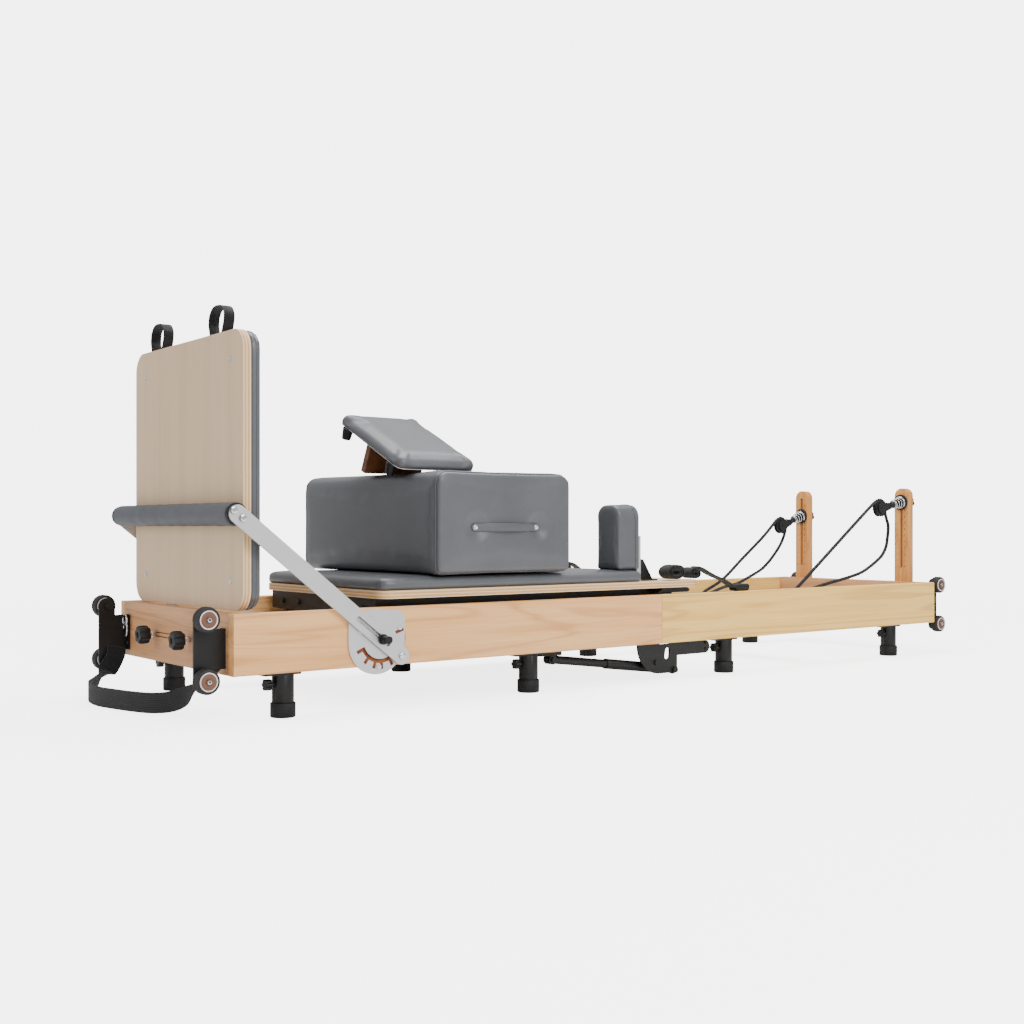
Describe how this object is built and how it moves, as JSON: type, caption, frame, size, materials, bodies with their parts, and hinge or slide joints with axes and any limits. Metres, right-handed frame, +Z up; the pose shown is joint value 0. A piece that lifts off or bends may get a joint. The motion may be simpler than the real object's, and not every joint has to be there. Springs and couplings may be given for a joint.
{
  "type": "pilates reformer",
  "caption": "Folding wooden pilates reformer with spring carriage, jump board, footbar, sitting box, pulley risers and transport wheels.",
  "frame": {"origin": "on the floor under the middle of the unfolded frame, at the fold seam", "axes": "+X along the frame from the foot end to the pulley end, +Z up, +Y across the frame"},
  "size_m": [2.6116, 0.69, 0.8645],
  "materials": {
    "pine": "satin",
    "plywood": "satin",
    "prop_wood": "satin",
    "aluminium": "satin",
    "black_steel": "satin",
    "rubber": "matt",
    "grey_steel": "satin",
    "chrome": "polished",
    "webbing": "matt",
    "rope": "matt",
    "vinyl": "satin",
    "foam": "matt",
    "black_plastic": "matt",
    "wheel": "matt"
  },
  "bodies": {
    "front_frame": {"front_rails": "pine", "front_cross_boards": "pine", "front_tracks": "aluminium", "front_legs": "black_steel", "front_feet": "rubber", "foot_brackets": "black_steel", "footbar_plates": "grey_steel", "fold_hinge_front": "black_steel", "foot_fittings": "grey_steel", "pull_strap": "webbing", "carriage_springs": "chrome"},
    "rear_frame": {"rear_rails": "pine", "rear_cross_boards": "pine", "rear_tracks": "aluminium", "rear_legs": "black_steel", "rear_feet": "rubber", "head_brackets": "black_steel", "fold_hinge_rear": "black_steel", "risers": "pine", "rope_near": "rope", "rope_far": "rope"},
    "footbar_pivot": {"footbar_pivots": "black_steel"},
    "footbar": {"footbar_arms": "grey_steel", "footbar_tube": "black_plastic", "footbar_grip": "foam", "footbar_springs": "chrome"},
    "carriage": {"carriage_board": "plywood", "carriage_pad": "vinyl", "carriage_frame": "black_steel", "shoulder_pads": "vinyl", "shoulder_brackets": "grey_steel", "hand_loops": "webbing"},
    "rollers_foot": {"rollers_foot": "black_steel"},
    "rollers_head": {"rollers_head": "black_steel"},
    "jump_board": {"jump_board_panel": "plywood", "jump_board_pad": "vinyl", "jump_board_loops": "webbing", "jump_board_posts": "grey_steel"},
    "box": {"box_body": "vinyl", "box_handles": "vinyl"},
    "head_pad": {"head_pad_cushion": "vinyl", "head_pad_base": "black_plastic"},
    "head_pad_prop": {"head_pad_prop": "prop_wood"},
    "rope_ends": {"rope_clips": "chrome"},
    "end_knob_near": {"end_knob_near": "black_plastic"},
    "end_knob_far": {"end_knob_far": "black_plastic"},
    "pulley_mount_near": {"pulley_mount_near": "chrome"},
    "pulley_block_near": {"pulley_block_near": "black_steel"},
    "sheave_near": {"sheave_near": "black_plastic"},
    "pulley_mount_far": {"pulley_mount_far": "chrome"},
    "pulley_block_far": {"pulley_block_far": "black_steel"},
    "sheave_far": {"sheave_far": "black_plastic"},
    "wheel_foot_near_top": {"wheel_foot_near_top": "wheel"},
    "wheel_foot_near_low": {"wheel_foot_near_low": "wheel"},
    "wheel_foot_far_top": {"wheel_foot_far_top": "wheel"},
    "wheel_foot_far_low": {"wheel_foot_far_low": "wheel"},
    "wheel_head_near_top": {"wheel_head_near_top": "wheel"},
    "wheel_head_near_low": {"wheel_head_near_low": "wheel"},
    "wheel_head_far_top": {"wheel_head_far_top": "wheel"},
    "wheel_head_far_low": {"wheel_head_far_low": "wheel"}
  },
  "joints": [
    {"name": "fold", "type": "hinge", "parent": "front_frame", "child": "rear_frame", "pos_m": [0.055, 0, 0.022], "axis": [0, 1, 0], "range_deg": [0, 174], "deforming": ["rope_near", "rope_far"]},
    {"name": "carriage_slide", "type": "slide", "parent": "front_frame", "child": "carriage", "axis": [1, 0, 0], "range_m": [0, 0.75], "stiffness_N_per_m": 250, "deforming": ["carriage_springs", "rope_near", "rope_far"]},
    {"name": "rope_ends_slide", "type": "slide", "parent": "rear_frame", "child": "rope_ends", "axis": [1, 0, 0], "range_m": [-0.01, 0.76]},
    {"name": "rollers_foot_spin", "type": "hinge", "parent": "carriage", "child": "rollers_foot", "pos_m": [-0.76, 0, 0.174], "axis": [0, 1, 0], "continuous": true},
    {"name": "rollers_head_spin", "type": "hinge", "parent": "carriage", "child": "rollers_head", "pos_m": [-0.06, 0, 0.174], "axis": [0, 1, 0], "continuous": true},
    {"name": "jump_board_lift", "type": "slide", "parent": "front_frame", "child": "jump_board", "axis": [0, 0, 1], "range_m": [0, 0.13]},
    {"name": "box_lift", "type": "slide", "parent": "carriage", "child": "box", "axis": [0, 0, 1], "range_m": [0, 0.25]},
    {"name": "head_pad_lift", "type": "slide", "parent": "box", "child": "head_pad", "axis": [0, 0, 1], "range_m": [0, 0.15]},
    {"name": "head_pad_prop_fold", "type": "hinge", "parent": "head_pad", "child": "head_pad_prop", "pos_m": [-0.61, 0.00389, 0.60527], "axis": [1, 0, 0], "range_deg": [0, 85]},
    {"name": "footbar_swing", "type": "hinge", "parent": "front_frame", "child": "footbar_pivot", "pos_m": [-0.857, 0, 0.152], "axis": [0, -1, 0], "range_deg": [0, 22]},
    {"name": "footbar_pull", "type": "slide", "parent": "footbar_pivot", "child": "footbar", "axis": [-0.7923, 0, 0.6101], "range_m": [0, 0.012], "stiffness_N_per_m": 900, "springref_m": -0.02},
    {"name": "end_knob_near_turn", "type": "hinge", "parent": "front_frame", "child": "end_knob_near", "pos_m": [-1.2, -0.094, 0.154], "axis": [1, 0, 0], "continuous": true},
    {"name": "end_knob_far_turn", "type": "hinge", "parent": "front_frame", "child": "end_knob_far", "pos_m": [-1.2, 0.094, 0.154], "axis": [1, 0, 0], "continuous": true},
    {"name": "wheel_foot_near_top_spin", "type": "hinge", "parent": "front_frame", "child": "wheel_foot_near_top", "pos_m": [-1.25, -0.2845, 0.21], "axis": [0, 1, 0], "continuous": true},
    {"name": "wheel_foot_near_low_spin", "type": "hinge", "parent": "front_frame", "child": "wheel_foot_near_low", "pos_m": [-1.25, -0.2845, 0.086], "axis": [0, 1, 0], "continuous": true},
    {"name": "wheel_foot_far_top_spin", "type": "hinge", "parent": "front_frame", "child": "wheel_foot_far_top", "pos_m": [-1.25, 0.2845, 0.21], "axis": [0, 1, 0], "continuous": true},
    {"name": "wheel_foot_far_low_spin", "type": "hinge", "parent": "front_frame", "child": "wheel_foot_far_low", "pos_m": [-1.25, 0.2845, 0.086], "axis": [0, 1, 0], "continuous": true},
    {"name": "wheel_head_near_top_spin", "type": "hinge", "parent": "rear_frame", "child": "wheel_head_near_top", "pos_m": [1.25, -0.2845, 0.21], "axis": [0, 1, 0], "continuous": true},
    {"name": "wheel_head_near_low_spin", "type": "hinge", "parent": "rear_frame", "child": "wheel_head_near_low", "pos_m": [1.25, -0.2845, 0.086], "axis": [0, 1, 0], "continuous": true},
    {"name": "wheel_head_far_top_spin", "type": "hinge", "parent": "rear_frame", "child": "wheel_head_far_top", "pos_m": [1.25, 0.2845, 0.21], "axis": [0, 1, 0], "continuous": true},
    {"name": "wheel_head_far_low_spin", "type": "hinge", "parent": "rear_frame", "child": "wheel_head_far_low", "pos_m": [1.25, 0.2845, 0.086], "axis": [0, 1, 0], "continuous": true},
    {"name": "pulley_near_height", "type": "slide", "parent": "rear_frame", "child": "pulley_mount_near", "axis": [0, 0, 1], "range_m": [-0.19, 0.01], "deforming": ["rope_near"]},
    {"name": "pulley_near_swing", "type": "hinge", "parent": "pulley_mount_near", "child": "pulley_block_near", "pos_m": [1.103, -0.202, 0.46254], "axis": [0, 1, 0], "range_deg": [-30, 30], "deforming": ["rope_near"]},
    {"name": "sheave_near_spin", "type": "hinge", "parent": "pulley_block_near", "child": "sheave_near", "pos_m": [1.05967, -0.202, 0.4549], "axis": [0, 1, 0], "continuous": true},
    {"name": "pulley_far_height", "type": "slide", "parent": "rear_frame", "child": "pulley_mount_far", "axis": [0, 0, 1], "range_m": [-0.15, 0.05], "deforming": ["rope_far"]},
    {"name": "pulley_far_swing", "type": "hinge", "parent": "pulley_mount_far", "child": "pulley_block_far", "pos_m": [1.10488, 0.202, 0.4127], "axis": [0, 1, 0], "range_deg": [-30, 30], "deforming": ["rope_far"]},
    {"name": "sheave_far_spin", "type": "hinge", "parent": "pulley_block_far", "child": "sheave_far", "pos_m": [1.06281, 0.202, 0.39984], "axis": [0, 1, 0], "continuous": true}
  ],
  "couplings": [
    {"joint": "rope_ends_slide", "follows": "carriage_slide", "ratio": 1},
    {"joint": "rollers_foot_spin", "follows": "carriage_slide", "rad_per_m": 50.761},
    {"joint": "rollers_head_spin", "follows": "carriage_slide", "rad_per_m": 50.761}
  ]
}
